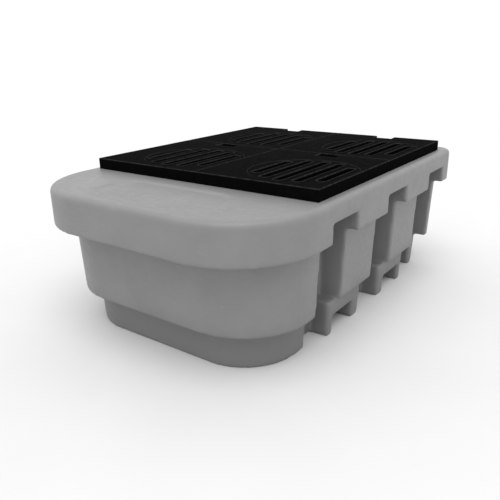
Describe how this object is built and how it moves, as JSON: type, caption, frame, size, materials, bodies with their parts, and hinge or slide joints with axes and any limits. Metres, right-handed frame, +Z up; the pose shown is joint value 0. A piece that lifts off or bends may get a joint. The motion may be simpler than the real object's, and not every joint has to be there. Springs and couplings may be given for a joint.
{
  "type": "spill containment pallet",
  "caption": "Moulded sump with stepped sides, fork pockets and a dispensing shelf, under a slotted black deck of lift-off panels that stands on columns.",
  "frame": {"origin": "on the floor under the middle of the bounding box", "axes": "+Z up, +Y along the length from the dispensing shelf towards the far end, +X to the right across the width"},
  "size_m": [1.4, 2.02, 0.7603],
  "materials": {
    "grey_polyethylene": "satin rotomoulded polyethylene",
    "black_deck": "satin moulded plastic",
    "black_column": "satin extruded plastic"
  },
  "bodies": {
    "tub": {"sump_tub": "grey_polyethylene", "support_column_1": "black_column", "support_column_2": "black_column", "support_column_3": "black_column", "support_column_4": "black_column", "support_column_5": "black_column", "support_column_6": "black_column", "support_column_7": "black_column", "support_column_8": "black_column", "support_column_9": "black_column"},
    "deck_panel_near_left": {"deck_panel_near_left": "black_deck"},
    "deck_panel_near_right": {"deck_panel_near_right": "black_deck"},
    "deck_panel_far_left": {"deck_panel_far_left": "black_deck"},
    "deck_panel_far_right": {"deck_panel_far_right": "black_deck"}
  },
  "joints": [
    {"name": "lift_deck_panel_near_left", "type": "slide", "parent": "tub", "child": "deck_panel_near_left", "axis": [0, 0, 1], "range_m": [0, 0.3]},
    {"name": "lift_deck_panel_near_right", "type": "slide", "parent": "tub", "child": "deck_panel_near_right", "axis": [0, 0, 1], "range_m": [0, 0.3]},
    {"name": "lift_deck_panel_far_left", "type": "slide", "parent": "tub", "child": "deck_panel_far_left", "axis": [0, 0, 1], "range_m": [0, 0.3]},
    {"name": "lift_deck_panel_far_right", "type": "slide", "parent": "tub", "child": "deck_panel_far_right", "axis": [0, 0, 1], "range_m": [0, 0.3]}
  ]
}
